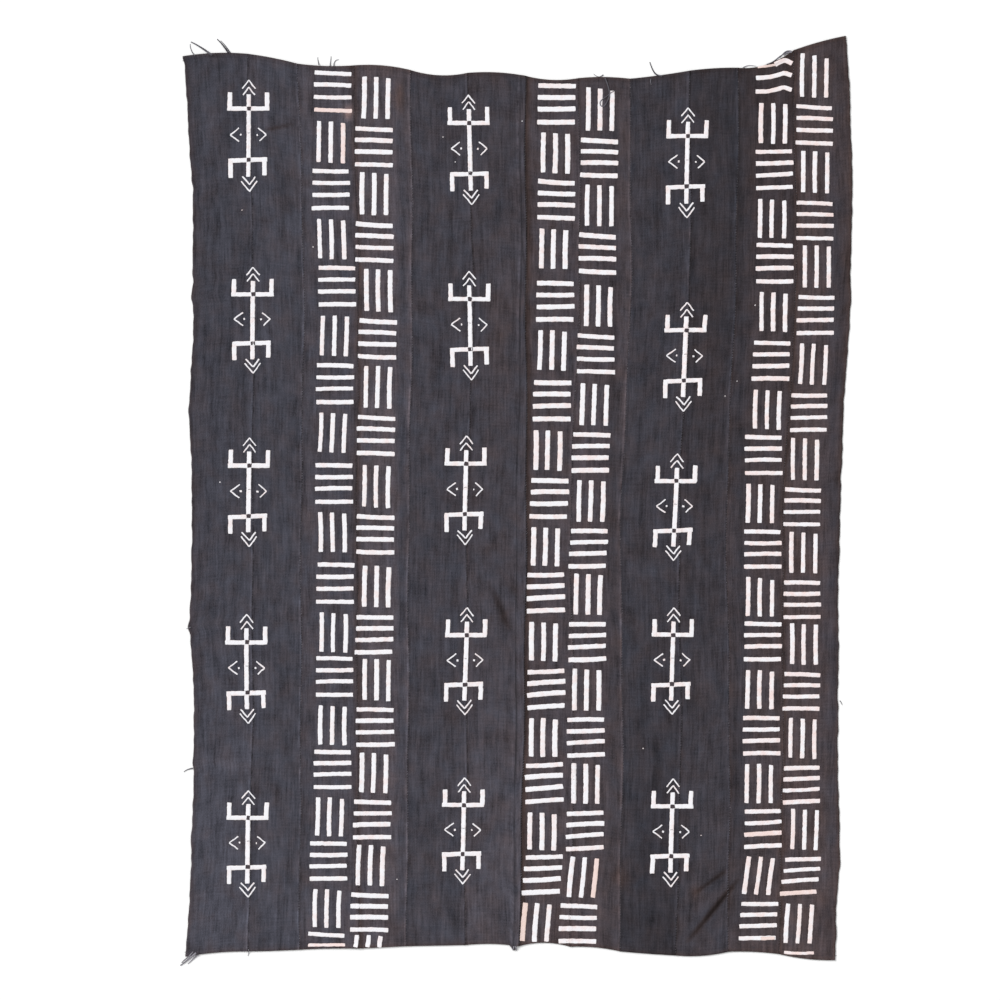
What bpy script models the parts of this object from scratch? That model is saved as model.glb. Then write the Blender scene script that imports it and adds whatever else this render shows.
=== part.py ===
"""Mud cloth (bogolan), laid out flat.

Twelve narrow strips of handspun cotton, woven on a strip loom and whipped together along their selvedges
into one wide cloth. Each strip has a narrow rolled hem at its head and its foot, which is part of its own
cloth. The cloth lies on a surface and touches it nearly everywhere. It lifts a little in low swells and in a
few folds that run down from the seams.

Frame: metres, +X across the strips to the right, +Y up the strips to the head, +Z up. The origin is the
middle of the cloth's bounding box, on the surface that it lies on.
"""

import math
from collections import namedtuple

import bmesh
import bpy
from mathutils import Vector

MM = 0.001

# Driving dimensions
CLOTH_HEIGHT = 1.596  # from the lowest point of the foot to the highest corner of the head
CLOTH_THICKNESS = 1.6 * MM
SELVEDGE_THICKNESS = 2.6 * MM  # two selvedges whipped together stand a little proud
HEM_THICKNESS = 2.8 * MM
HEM_DEPTH = 9 * MM
STRIP_GAP = 0.3 * MM

# The columns of each strip, from its left selvedge to its right one. The outer two stop short of the ridge
# that the seam makes.
ACROSS = (0, 0.12, 0.37, 0.63, 0.88, 1)
ROWS_BETWEEN_HEMS = 34

# One row for each strip, from the left. The first five columns are its width, in mm, at the head, at each
# quarter of the way down, and at the foot. The next two say how far the head hem lies below the cloth's
# highest corner, at the strip's left selvedge and at its middle. The last two say how far the foot hem lies
# above the cloth's lowest point, at the same places.
Strip = namedtuple(
    "Strip", "head quarter half three_quarter foot head_left head_middle foot_left foot_middle")
STRIPS = (
    Strip(108, 104, 101, 100, 106, 37, 31, 8, 15),
    Strip(88, 88, 84, 84, 88, 31, 38, 16, 18),
    Strip(95, 94, 96, 98, 102, 49, 54, 20, 22),
    Strip(99, 93, 90, 87, 83, 55, 53, 22, 22),
    Strip(98, 104, 101, 101, 100, 60, 68, 25, 26),
    Strip(93, 90, 92, 91, 93, 64, 63, 28, 29),
    Strip(99, 94, 86, 93, 89, 69, 75, 23, 32),
    Strip(88, 89, 87, 85, 85, 73, 71, 25, 24),
    Strip(103, 101, 100, 100, 98, 74, 69, 17, 14),
    Strip(82, 79, 82, 84, 89, 60, 57, 12, 10),
    Strip(102, 105, 98, 92, 88, 57, 49, 15, 18),
    Strip(91, 95, 99, 99, 98, 25, 8, 13, 4),
)
HEAD_RIGHT = 0  # the cloth's highest corner, at its right selvedge, as the columns above count it
FOOT_RIGHT = 2
# Where the first strip's left selvedge runs, in mm from the cloth's leftmost point, at the same five levels
LEFT_SELVEDGE = (1, 15, 17, 18, 5)

# Seams wander as hand sewing does
SEAM_WANDER = 1.2 * MM
SEAM_WAVES = 5.3  # waves between the head and the foot
SEAM_PHASE_STEP = 2.4  # radians from one seam to the next

# Low swells, where the cloth isn't pulled quite flat
SWELL_HEIGHT = 1.1 * MM
SWELL_REST = 0.35 * MM  # how far swells and folds sink first, so that the cloth lies flat between them
SWELL_ACROSS = 0.43
SWELL_ALONG = 0.61
SWELL_SLANT = 0.9

# One row for each fold: where it starts, to the right of the cloth's leftmost point and above its lowest one,
# how far it runs from there, how high it stands and how far it spreads on each side of its crest, all in mm
Fold = namedtuple("Fold", "right up run_right run_up height spread")
FOLDS = (
    Fold(139, 545, 59, -238, 4.5, 22),
    Fold(360, 329, 52, -152, 4.0, 20),
    Fold(432, 148, 36, -112, 4.5, 20),
    Fold(506, 662, 62, -100, 4.5, 20),
    Fold(881, 712, 45, -76, 4.0, 20),
    Fold(957, 141, -92, -105, 5.0, 20),
    Fold(937, 157, -59, -38, 3.0, 20),
    Fold(513, 1311, 66, 19, 3.5, 20),
    Fold(882, 389, 47, -104, 3.5, 22),
    Fold(161, 1381, 33, -95, 3.5, 22),
)

# Mud dye: blue-grey on the left of the cloth, browner on the right
DYE_LEFT = (0.058, 0.056, 0.069)
DYE_RIGHT = (0.046, 0.038, 0.042)
DYED_COTTON_ROUGHNESS = 0.92


def smooth_run(values, at):
    """A smooth curve through evenly spaced values, read at a share of its length."""
    spans = len(values) - 1
    span = min(int(at * spans), spans - 1)
    t = at * spans - span
    before = values[max(span - 1, 0)]
    start = values[span]
    end = values[span + 1]
    after = values[min(span + 2, spans)]
    return start + 0.5 * t * (
        end - before + t * (2 * before - 5 * start + 4 * end - after
                            + t * (3 * (start - end) + after - before)))


def bowed(left, middle, right, across):
    """The parabola through a hem's height at a strip's left, middle and right."""
    return (left * (1 - across) * (1 - 2 * across) + 4 * middle * across * (1 - across)
            + right * across * (2 * across - 1))


def seam_x(seam, along):
    """How far right a seam lies, at a share of the way from the head to the foot."""
    x = smooth_run(LEFT_SELVEDGE, along)
    for strip in STRIPS[:seam]:
        widths = (strip.head, strip.quarter, strip.half, strip.three_quarter, strip.foot)
        x += smooth_run(widths, along)
    wander = SEAM_WANDER * math.sin(math.tau * SEAM_WAVES * along + SEAM_PHASE_STEP * seam)
    return x * MM + wander


def hem_y(number, across, column, right_end):
    """How far up or down a hem lies at a strip, read from its left and middle columns."""
    strip = STRIPS[number]
    left = getattr(strip, column + "_left")
    middle = getattr(strip, column + "_middle")
    last = number == len(STRIPS) - 1
    right = right_end if last else getattr(STRIPS[number + 1], column + "_left")
    return bowed(left, middle, right, across) * MM


def place(number, across, along):
    """Where a point of a strip lies in plan, before the cloth is centred on the origin."""
    left = seam_x(number, along) + STRIP_GAP / 2
    right = seam_x(number + 1, along) - STRIP_GAP / 2
    head = CLOTH_HEIGHT - hem_y(number, across, "head", HEAD_RIGHT)
    foot = hem_y(number, across, "foot", FOOT_RIGHT)
    return Vector((left + (right - left) * across, head + (foot - head) * along))


def fold_lift(fold, point):
    """How high a fold lifts the cloth at a point. It fades out towards both of its ends."""
    start = Vector((fold.right, fold.up)) * MM
    run = Vector((fold.run_right, fold.run_up)) * MM
    at = (point - start).dot(run) / run.length_squared
    at = min(max(at, 0.05), 0.95)
    away = (point - start - run * at).length / (fold.spread * MM)
    return fold.height * MM * math.sin(math.pi * at) * math.exp(-away * away)


def lift(point):
    """The height of the cloth's underside. It is nothing where the cloth lies on the surface."""
    x, y = point
    swell = math.sin(math.tau * (x / SWELL_ACROSS + y / SWELL_SLANT))
    swell *= math.sin(math.tau * (y / SWELL_ALONG - x / SWELL_SLANT))
    height = SWELL_HEIGHT * swell - SWELL_REST + sum(fold_lift(fold, point) for fold in FOLDS)
    return max(0.0, height)


def rows_along():
    """The rows of a strip, from its head to its foot, with one more row inside each hem."""
    hem = HEM_DEPTH / CLOTH_HEIGHT
    between = [hem + (1 - 2 * hem) * row / ROWS_BETWEEN_HEMS for row in range(ROWS_BETWEEN_HEMS + 1)]
    return [0.0] + between + [1.0]


def thickness(column, row, rows):
    """One layer of cloth, more along the selvedges, and most where a hem is rolled."""
    if row in (0, rows - 1):
        return HEM_THICKNESS
    if column in (0, len(ACROSS) - 1):
        return SELVEDGE_THICKNESS
    return CLOTH_THICKNESS


def strip_object(number, centre, cloth, collection):
    """One woven strip: a grid laid out in plan, lifted over the folds and given its thickness straight up."""
    along_at = rows_along()
    bm = bmesh.new()
    bmesh.ops.create_grid(bm, x_segments=len(ACROSS) - 1, y_segments=len(along_at) - 1, size=0.5)
    raised = bmesh.ops.extrude_face_region(bm, geom=bm.faces[:])
    upper = {item for item in raised["geom"] if isinstance(item, bmesh.types.BMVert)}
    middle = place(number, 0.5, 0.5) - centre
    for vertex in bm.verts:
        column = round((vertex.co.x + 0.5) * (len(ACROSS) - 1))
        row = round((0.5 - vertex.co.y) * (len(along_at) - 1))
        point = place(number, ACROSS[column], along_at[row])
        height = lift(point)
        if vertex in upper:
            height += thickness(column, row, len(along_at))
        vertex.co = (*(point - centre - middle), height)
    bmesh.ops.recalc_face_normals(bm, faces=bm.faces)
    name = f"strip_{number + 1:02d}"
    mesh = bpy.data.meshes.new(name)
    bm.to_mesh(mesh)
    bm.free()
    mesh.materials.append(dyed_cotton(number))
    strip = bpy.data.objects.new(name, mesh)
    strip.location = (*middle, 0)
    strip.parent = cloth
    collection.objects.link(strip)


def dyed_cotton(number):
    """Matt handspun cotton in the dye of one strip."""
    share = number / (len(STRIPS) - 1)
    colour = [left + (right - left) * share for left, right in zip(DYE_LEFT, DYE_RIGHT)]
    material = bpy.data.materials.new(f"mud_dyed_cotton_{number + 1:02d}")
    material.use_nodes = True
    shader = material.node_tree.nodes["Principled BSDF"]
    shader.inputs["Base Color"].default_value = (*colour, 1)
    shader.inputs["Roughness"].default_value = DYED_COTTON_ROUGHNESS
    shader.inputs["Metallic"].default_value = 0
    return material


def plan_centre():
    """The middle of the cloth's outline in plan."""
    points = [place(number, across, along)
              for number in range(len(STRIPS)) for across in ACROSS for along in rows_along()]
    lowest = Vector((min(point.x for point in points), min(point.y for point in points)))
    highest = Vector((max(point.x for point in points), max(point.y for point in points)))
    return (lowest + highest) / 2


def build_cloth():
    for old in list(bpy.data.objects):
        bpy.data.objects.remove(old)
    collection = bpy.data.collections.new("mud_cloth")
    bpy.context.scene.collection.children.link(collection)
    cloth = bpy.data.objects.new("mud_cloth", None)
    collection.objects.link(cloth)
    centre = plan_centre()
    for number in range(len(STRIPS)):
        strip_object(number, centre, cloth, collection)


build_cloth()
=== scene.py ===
"""Mud cloth (bogolan) laid out flat and seen from straight above: its finished look.

Twelve narrow strips of handspun cotton are sewn edge to edge, dyed blue-black with mud, and marked by taking
the dye out again in bars and small figures. Lengths are in metres. +X runs across the strips to the right, +Y
up the strips to the head, and +Z out of the marked face.
"""

import math
import random
from collections import namedtuple

import bmesh
import bpy
import numpy as np
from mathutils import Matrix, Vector
from mathutils.bvhtree import BVHTree


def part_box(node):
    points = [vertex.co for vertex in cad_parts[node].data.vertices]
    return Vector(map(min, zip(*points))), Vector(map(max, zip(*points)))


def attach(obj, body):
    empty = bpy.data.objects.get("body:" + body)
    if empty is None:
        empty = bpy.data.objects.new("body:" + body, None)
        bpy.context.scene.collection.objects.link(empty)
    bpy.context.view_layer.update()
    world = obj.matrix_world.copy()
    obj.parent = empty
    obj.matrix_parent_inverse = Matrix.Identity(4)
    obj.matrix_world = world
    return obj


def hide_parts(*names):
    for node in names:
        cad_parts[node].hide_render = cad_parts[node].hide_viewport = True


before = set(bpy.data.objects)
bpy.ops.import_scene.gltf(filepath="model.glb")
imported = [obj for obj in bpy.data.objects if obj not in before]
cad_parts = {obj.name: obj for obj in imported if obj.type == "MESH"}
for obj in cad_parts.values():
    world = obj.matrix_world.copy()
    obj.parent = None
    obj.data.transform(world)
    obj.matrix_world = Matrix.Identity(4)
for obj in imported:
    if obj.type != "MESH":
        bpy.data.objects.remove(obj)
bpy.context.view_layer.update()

# The twelve woven strips
# Each is one length of handspun cotton off a narrow strip loom, in plain weave, with firm selvedges. Head and
# foot are rolled into narrow hems. The strips lie edge to edge, with the ridges that the sewing draws up.
MM = 0.001
CLOTH_HEIGHT = 1.596
CLOTH_THICKNESS = 1.6 * MM
STRIP_GAP = 0.3 * MM
SELVEDGE_LAP = 0.1 * MM  # how far each selvedge is drawn past the middle of its seam

# Widths, in mm, at the head, at each quarter of the way down, and at the foot. Then how far the head hem lies
# below the cloth's highest corner, and the foot hem above its lowest point, at the left selvedge and in the
# middle of the strip, in mm too.
Strip = namedtuple(
    "Strip", "head quarter half three_quarter foot head_left head_middle foot_left foot_middle")
STRIPS = (
    Strip(108, 104, 101, 100, 106, 35.3, 29.5, 8, 15),
    Strip(88, 88, 84, 84, 88, 31, 38, 17, 18),
    Strip(95, 94, 96, 98, 102, 48, 52, 20, 22),
    Strip(99, 93, 90, 87, 83, 51, 51, 22, 24),
    Strip(98, 104, 101, 101, 100, 59, 68, 26, 27),
    Strip(99, 91, 101, 97.5, 94, 64, 63, 28, 30),
    Strip(93, 93, 77, 86.5, 88, 69, 76, 26, 32),
    Strip(88, 89, 87, 85, 85, 73, 71, 25, 24),
    Strip(103, 101, 100, 100, 98, 74, 68, 17, 13),
    Strip(84.5, 79, 82, 84, 89, 60, 56, 10, 9.5),
    Strip(93.5, 105, 98, 92, 88, 55, 50, 16.5, 16.3),
    Strip(97, 95, 99, 99, 98, 25, 10.5, 12.5, 4),
)
HEAD_RIGHT = 0
FOOT_RIGHT = 2
LEFT_SELVEDGE = (1, 15, 17, 18, 5)
SEAM_WANDER = 1.2 * MM
SEAM_WAVES = 5.3
SEAM_PHASE_STEP = 2.4

# Finer places on the cloth are measured on a chart whose square is one pixel of the photograph.
SQUARE = 1.725 * MM
CHART_MIDDLE = (518.1, 498.0)
CHART_HEAD = 57  # how far down the outer selvedges start, and how far they run from there
CHART_FALL = 900
# Where the two outer selvedges run on the chart, at even steps from the head to the foot
LEFT_EDGE = (
    184.2, 187, 189.3, 192.4, 193, 192.3, 193.4, 191.2, 189.2, 191.4, 191.8,
    192, 190.8, 190.8, 193.6, 193.8, 193.8, 192.3, 191, 188.8, 185.6,
)
RIGHT_EDGE = (
    846, 849.2, 850.8, 852.3, 851.8, 850.6, 850, 847, 843.6, 842.2, 840.5,
    839.3, 838, 838.2, 838.3, 838.2, 837.8, 839.4, 839, 836.2, 835.2,
)
# Short bulges in the outer selvedges: a place on the chart, and how far out and along it reaches, in squares
Bulge = namedtuple("Bulge", "down out along")
LEFT_BULGES = (
    Bulge(627, 2.6, 7), Bulge(298, 1.6, 6), Bulge(609, 0.8, 8), Bulge(762, 1.3, 7), Bulge(408, 0.7, 8),
    Bulge(190, -1.0, 5), Bulge(283, -1.0, 6), Bulge(838, 0.9, 9), Bulge(556, 0.8, 7), Bulge(370, 0.7, 5),
    Bulge(58, 1.2, 5),
)
RIGHT_BULGES = (
    Bulge(700, -0.9, 9), Bulge(744, -0.7, 8), Bulge(312, 0.8, 7), Bulge(650, 0.7, 7), Bulge(860, 1.0, 8),
    Bulge(905, -0.8, 6), Bulge(932, 0.9, 6), Bulge(486, -0.6, 5), Bulge(145, -0.6, 7), Bulge(560, 0.6, 6),
)
# The small unevenness of the outer selvedges: its size and its waves' lengths, in squares, and their phases
SELVEDGE_WAVER = 0.16
SELVEDGE_WAVES = ((12.7, 2.1), (19.5, 4.4), (33, 0.4))


def smooth_run(values, at):
    """A smooth curve through evenly spaced values, read at shares of its length."""
    values = np.asarray(values, float)
    at = np.asarray(at, float)
    spans = len(values) - 1
    span = np.minimum((at * spans).astype(int), spans - 1)
    t = at * spans - span
    before = values[np.maximum(span - 1, 0)]
    start = values[span]
    end = values[span + 1]
    after = values[np.minimum(span + 2, spans)]
    return start + 0.5 * t * (
        end - before + t * (2 * before - 5 * start + 4 * end - after
                            + t * (3 * (start - end) + after - before)))


# The chart and the strips' own sizes meet at the left selvedge's head and at the raised right corner.
CENTRE = Vector((
    LEFT_SELVEDGE[0] * MM + STRIP_GAP / 2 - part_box("strip_01")[0].x,
    CLOTH_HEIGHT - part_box("strip_12")[1].y,
))


def on_chart(right, down):
    """A place on the chart, in the cloth's own frame."""
    return Vector(((right - CHART_MIDDLE[0]) * SQUARE, (CHART_MIDDLE[1] - down) * SQUARE))


def outer_x(edge, bulges, outward, along):
    """How far right an outer selvedge lies, at shares of the way from the head to the foot."""
    down = CHART_HEAD + CHART_FALL * along
    x = smooth_run(edge, along)
    for bulge in bulges:
        x = x + outward * bulge.out * np.exp(-((down - bulge.down) / bulge.along) ** 2)
    for length, phase in SELVEDGE_WAVES:
        x = x + SELVEDGE_WAVER * np.sin(math.tau * down / length + phase + 1.3 * np.sin(down / 31 + phase))
    return (x - CHART_MIDDLE[0]) * SQUARE


def seam_x(seam, along):
    """How far right a seam lies, at shares of the way from the head to the foot."""
    if seam == 0:
        return outer_x(LEFT_EDGE, LEFT_BULGES, -1, along)
    if seam == len(STRIPS):
        return outer_x(RIGHT_EDGE, RIGHT_BULGES, 1, along)
    x = smooth_run(LEFT_SELVEDGE, along)
    for strip in STRIPS[:seam]:
        x = x + smooth_run((strip.head, strip.quarter, strip.half, strip.three_quarter, strip.foot), along)
    wander = SEAM_WANDER * np.sin(math.tau * SEAM_WAVES * along + SEAM_PHASE_STEP * seam)
    return x * MM + wander - CENTRE.x


def hem_y(number, across, column, right_end):
    """How far up or down a hem lies across a strip: the parabola through its left, middle and right."""
    strip = STRIPS[number]
    left = getattr(strip, column + "_left")
    middle = getattr(strip, column + "_middle")
    last = number == len(STRIPS) - 1
    right = right_end if last else getattr(STRIPS[number + 1], column + "_left")
    return MM * (left * (1 - across) * (1 - 2 * across) + 4 * middle * across * (1 - across)
                 + right * across * (2 * across - 1))


def place(number, across, along):
    """Where points of a strip lie in plan."""
    left = seam_x(number, along) - (SELVEDGE_LAP if number else 0)
    right = seam_x(number + 1, along) + (SELVEDGE_LAP if number < len(STRIPS) - 1 else 0)
    head = CLOTH_HEIGHT - CENTRE.y - hem_y(number, across, "head", HEAD_RIGHT)
    foot = hem_y(number, across, "foot", FOOT_RIGHT) - CENTRE.y
    if number + 1 == LAPPED_SEAM:
        foot = foot - LAP_TAIL * np.exp(-((across - LAP_TAIL_AT) / LAP_TAIL_REACH) ** 4)
    return left + (right - left) * across, head + (foot - head) * along


# How the cloth lies: low swells, folds that run down from the seams, and fine creases. The cloth is flat on
# the surface between them.
SWELL_HEIGHT = 1.1 * MM
SWELL_REST = 0.35 * MM
SWELL_ACROSS = 0.43
SWELL_ALONG = 0.61
SWELL_SLANT = 0.9

# Folds start right of the cloth's leftmost point and above its lowest one, and are all in mm.
Fold = namedtuple("Fold", "right up run_right run_up height spread")
FOLDS = (
    Fold(139, 545, 59, -238, 4.5, 22),
    Fold(360, 329, 52, -152, 4.0, 20),
    Fold(432, 148, 36, -112, 4.5, 20),
    Fold(506, 662, 62, -100, 4.5, 20),
    Fold(881, 712, 45, -76, 4.0, 20),
    Fold(957, 141, -92, -105, 5.0, 20),
    Fold(937, 157, -59, -38, 3.0, 20),
    Fold(513, 1311, 66, 19, 3.5, 20),
    Fold(882, 389, 47, -104, 3.5, 22),
    Fold(161, 1381, 33, -95, 3.5, 22),
)

# Creases run between two places on the chart. Height and spread are in mm: a trough is below nothing. Shade
# says how much darker a crease is painted: painted shade in a trough; a shade below nothing is a painted
# highlight on a ridge. The darkest are painted browner too.
Crease = namedtuple("Crease", "right down to_right to_down height spread shade")
CREASES = (
    Crease(262, 272, 302, 274, -0.8, 4, 0.12),
    Crease(205, 285, 235, 287, -0.7, 4, 0.10),
    Crease(238, 422, 298, 424, -0.8, 4, 0.10),
    Crease(262, 131, 294, 124, -1.4, 3, 0.48),
    Crease(246, 898, 226, 946, -1.0, 5, 0.14),
    Crease(262, 880, 290, 940, 0.9, 5, -0.10),
    Crease(268, 650, 302, 712, -1.0, 5, 0.16),
    Crease(283, 741, 301, 786, -1.0, 5, 0.14),
    Crease(686, 943, 740, 877, -2.4, 4, 0.75),
    Crease(702, 921, 732, 886, -0.6, 4.5, 0.40),
    Crease(693, 894, 728, 869, -1.6, 3, 0.60),
    Crease(438, 872, 460, 941, -1.2, 5, 0.16),
    Crease(695, 225, 695, 440, -0.9, 3.5, 0.22),
    Crease(694, 540, 691, 760, -0.8, 3.5, 0.16),
    Crease(622, 862, 640, 815, 0.8, 5, -0.08),
    Crease(205, 758, 250, 770, 0.8, 6, -0.10),
    Crease(200, 92, 214, 138, 0.7, 5, -0.10),
    Crease(480, 578, 516, 634, -0.9, 5, 0.10),
    Crease(488, 580, 511, 632, -0.9, 5, 0.50),
    Crease(396, 772, 425, 858, -0.9, 5, 0.10),
    Crease(700, 549, 724, 592, -0.9, 5, 0.12),
)


def from_line(x, y, start, run, shorten=0.0):
    """How far points lie from a line, and the share of the line that they are nearest to."""
    at = ((x - start.x) * run.x + (y - start.y) * run.y) / run.length_squared
    at = np.clip(at, shorten, 1 - shorten)
    return np.hypot(x - start.x - run.x * at, y - start.y - run.y * at), at


def fold_lift(fold, x, y):
    """How high a fold lifts the cloth. It fades out towards both of its ends."""
    away, at = from_line(x, y, Vector((fold.right, fold.up)) * MM - CENTRE,
                         Vector((fold.run_right, fold.run_up)) * MM, 0.05)
    return fold.height * MM * np.sin(np.pi * at) * np.exp(-(away / (fold.spread * MM)) ** 2)


def crease_share(crease, x, y):
    """How much of a crease is felt at each point, from nothing to all of it."""
    start = on_chart(crease.right, crease.down)
    away, at = from_line(x, y, start, on_chart(crease.to_right, crease.to_down) - start)
    return np.sqrt(np.clip(np.sin(np.pi * at), 0, 1)) * np.exp(-(away / (crease.spread * MM)) ** 2)


def lift(x, y):
    """The height of the cloth's underside."""
    right = x + CENTRE.x
    up = y + CENTRE.y
    swell = np.sin(math.tau * (right / SWELL_ACROSS + up / SWELL_SLANT))
    swell = swell * np.sin(math.tau * (up / SWELL_ALONG - right / SWELL_SLANT))
    height = SWELL_HEIGHT * swell - SWELL_REST
    for fold in FOLDS:
        height = height + fold_lift(fold, x, y)
    return np.maximum(0.0, height)


# The fine grid of a strip: close columns along each selvedge and close rows in each hem, in mm from the edge
SELVEDGE_COLUMNS = (0, 0.5, 1.2, 2.2, 3.6, 5.5, 8.5)
BODY_COLUMNS = 15
HEM_ROWS = (0, 0.8, 2.0, 3.4, 5.0, 6.6, 8.0, 10.5)
ROW_PITCH = 5.2 * MM
WEAVE_SHIFT = 0.41  # from strip to strip, so that no two show the same threads

# The relief of the edges
EDGE_THICKNESS = 1.1 * MM
EDGE_ROUND = 0.6 * MM
LEAST_THICKNESS = 0.7 * MM
RIDGE_HEIGHT = 0.65 * MM
RIDGE_FROM_EDGE = 1.9 * MM
RIDGE_SPREAD = 1.9 * MM
HEM_HEIGHT = 1.1 * MM
HEM_DEPTH = 7.5 * MM
HEM_GROOVE_DEPTH = 0.15 * MM
HEM_GROOVE_AT = HEM_DEPTH + 0.6 * MM
HEM_GROOVE_SPREAD = 1.2 * MM
CREASE_FADE = 6 * MM  # creases fade out this close to a hem's edge
PUCKER_HEIGHT = 0.35 * MM
PUCKER_LENGTH = 29 * MM
PUCKER_REACH = 11 * MM

# The sixth seam is a lapped one. Its left strip is doubled over in two low rolls, with a line of sewing along
# the turned edge, and the strip on its right starts in a dark trough.
LAPPED_SEAM = 6
LAP_COLUMNS = (0, 0.6, 1.6, 3.4, 6.5, 10, 12.4, 13.4, 14.4, 15.6, 16.9, 18.4, 21)
LAP_WIDTHS = (8.8, 8.5, 16.6, 14, 9.6)  # in mm, at the head, each quarter and the foot
LAP_HEIGHT = 1.3 * MM
LAP_ROLL = 0.3 * MM
LAP_PALE = 0.12
LAP_EDGE_DARK = 0.5  # along its turned edge
LAP_EDGE_FROM = -0.5 * MM
LAP_EDGE_SPREAD = 1.3 * MM
LAP_SEWN_PALE = 0.45  # along the sewing beside it
LAP_SEWN_FROM = 2.4 * MM
LAP_SEWN_SPREAD = 1.2 * MM
LAP_TAIL = 8 * MM  # its doubled edge hangs this far below the foot hem
LAP_TAIL_AT = 0.906  # shares of the way across the strip
LAP_TAIL_REACH = 0.047

# One row for each seam, from the left. First how much darker and browner the cloth is beside it on its left
# and on its right, and how far that reaches, in mm. Then how much lighter its crest is painted on its left, a
# painted highlight, how much darker its furrow is painted on its right, painted shade, and how pale its
# thread is, which also paints a highlight along the seam.
Seam = namedtuple("Seam", "left_shade right_shade reach crest furrow thread")
SEAMS = (
    Seam(0.00, 0.05, 3.0, 0.46, 0.70, 0.25),
    Seam(0.00, 0.04, 3.0, 0.70, 0.46, 0.75),
    Seam(0.24, 0.24, 7.0, 0.16, 0.46, 0.25),
    Seam(0.00, 0.06, 3.0, 0.62, 0.46, 0.65),
    Seam(0.02, 0.10, 3.0, 0.42, 0.60, 0.25),
    Seam(0.00, 0.44, 8.0, 0.10, 0.20, 0.2),
    Seam(0.04, 0.06, 4.0, 0.46, 0.46, 0.6),
    Seam(0.00, 0.04, 3.0, 0.62, 0.22, 0.65),
    Seam(0.00, 0.08, 3.0, 0.56, 0.66, 0.5),
    Seam(0.00, 0.06, 3.0, 0.60, 0.44, 0.6),
    Seam(0.16, 0.20, 6.0, 0.24, 0.42, 0.4),
)
# Where the painted highlight lies on a seam's crest and the painted shade in its furrow, in from the seam
CREST_FROM_SEAM = 2.0 * MM
CREST_SPREAD = 1.3 * MM
FURROW_FROM_SEAM = 0.7 * MM
FURROW_SPREAD = 1.5 * MM


def lap_width(along):
    """How wide the lapped seam is, at shares of the way from the head to the foot."""
    return smooth_run(LAP_WIDTHS, along) * MM


def seam_dashes(y, seam):
    """How strongly a seam's painted highlight and painted shade, and the lap's sewing line, show along it,
    from nothing to all of it, in uneven dashes.
    """
    dashes = np.sin(y * 530 + 2.7 * seam + 2 * np.sin(y * 97 + seam)) + np.sin(y * 211 + 1.1 * seam)
    return np.clip(0.68 + 0.3 * dashes, 0.12, 1.15)


# One row for each strip: how brown its dye has turned, and how light it is at the head, halfway down
# and at the foot
Dye = namedtuple("Dye", "brown head half foot")
DYES = (
    Dye(0.10, 0.91, 0.94, 1.21),
    Dye(0.12, 1.03, 0.97, 1.08),
    Dye(0.25, 1.13, 1.07, 1.20),
    Dye(0.42, 1.24, 1.29, 1.28),
    Dye(0.20, 0.87, 0.89, 0.97),
    Dye(0.28, 0.86, 0.92, 1.19),
    Dye(0.48, 0.98, 1.03, 1.10),
    Dye(0.50, 0.98, 1.07, 1.07),
    Dye(0.22, 0.76, 0.80, 0.62),
    Dye(0.28, 0.63, 0.74, 0.84),
    Dye(0.60, 0.67, 0.90, 1.02),
    Dye(0.70, 1.00, 1.04, 1.12),
)

# Stains and worn patches: a place on the chart, its reach to each side and up and down, how much lighter it
# is and how much browner
Patch = namedtuple("Patch", "right down wide high lighter browner")
PATCHES = (
    Patch(286, 190, 9, 26, -0.16, 0.1),
    Patch(413, 405, 20, 24, 0.12, 0.0),
    Patch(206, 116, 14, 26, 0.10, 0.0),
    Patch(222, 764, 34, 9, 0.14, 0.0),
    Patch(212, 846, 26, 90, 0.06, -0.1),
    Patch(620, 878, 11, 13, 0.14, 0.7),
    Patch(695, 893, 7, 9, 0.12, 0.6),
    Patch(827, 920, 6, 15, -0.30, 0.1),
    Patch(348, 113, 4, 7, 2.4, 1.0),
    Patch(402, 500, 5, 500, -0.27, -0.3),
    Patch(613, 480, 7, 480, -0.26, -0.1),
    Patch(627, 720, 5, 200, 0.12, 0.0),
    Patch(740, 420, 9, 420, -0.22, -0.3),
    Patch(737, 810, 8, 120, -0.24, -0.2),
    Patch(305, 490, 6, 90, -0.07, 0.0),
    Patch(305, 830, 6, 80, -0.20, 0.0),
    Patch(834, 560, 8, 460, -0.10, -0.3),
    Patch(400, 96, 5, 16, 0.02, 0.7),
    Patch(500, 330, 12, 60, 0.08, 0.3),
    Patch(442, 60, 40, 14, -0.06, 0.4),
    Patch(650, 240, 20, 90, -0.06, 0.0),
    Patch(712, 330, 16, 120, -0.10, 0.2),
    Patch(560, 900, 34, 50, 0.04, 0.2),
    Patch(660, 930, 36, 18, -0.04, 0.1),
    Patch(710, 835, 10, 26, 0.08, 0.0),
    Patch(276, 920, 22, 30, 0.08, -0.1),
    Patch(843, 300, 12, 260, -0.20, -0.1),
    Patch(832, 700, 10, 200, -0.10, -0.1),
)
EDGE_BROWN = 0.55
EDGE_DARK = 0.16
EDGE_REACH = 5 * MM


def strip_shares(number, along):
    """The fine grid's shares across a strip, one row for each share along it."""
    width = seam_x(number + 1, along) - seam_x(number, along)
    near = np.array(SELVEDGE_COLUMNS)[None, :] * MM / width[:, None]
    far = 1 - near[:, ::-1]
    if number + 1 == LAPPED_SEAM:
        lap = lap_width(along) / (max(LAP_WIDTHS) * width)
        far = 1 - np.array(LAP_COLUMNS)[None, ::-1] * lap[:, None]
    between = (np.arange(1, BODY_COLUMNS + 1) / (BODY_COLUMNS + 1))[None, :]
    body = near[:, -1:] + (far[:, :1] - near[:, -1:]) * between
    return np.concatenate((near, body, far), axis=1)


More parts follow.
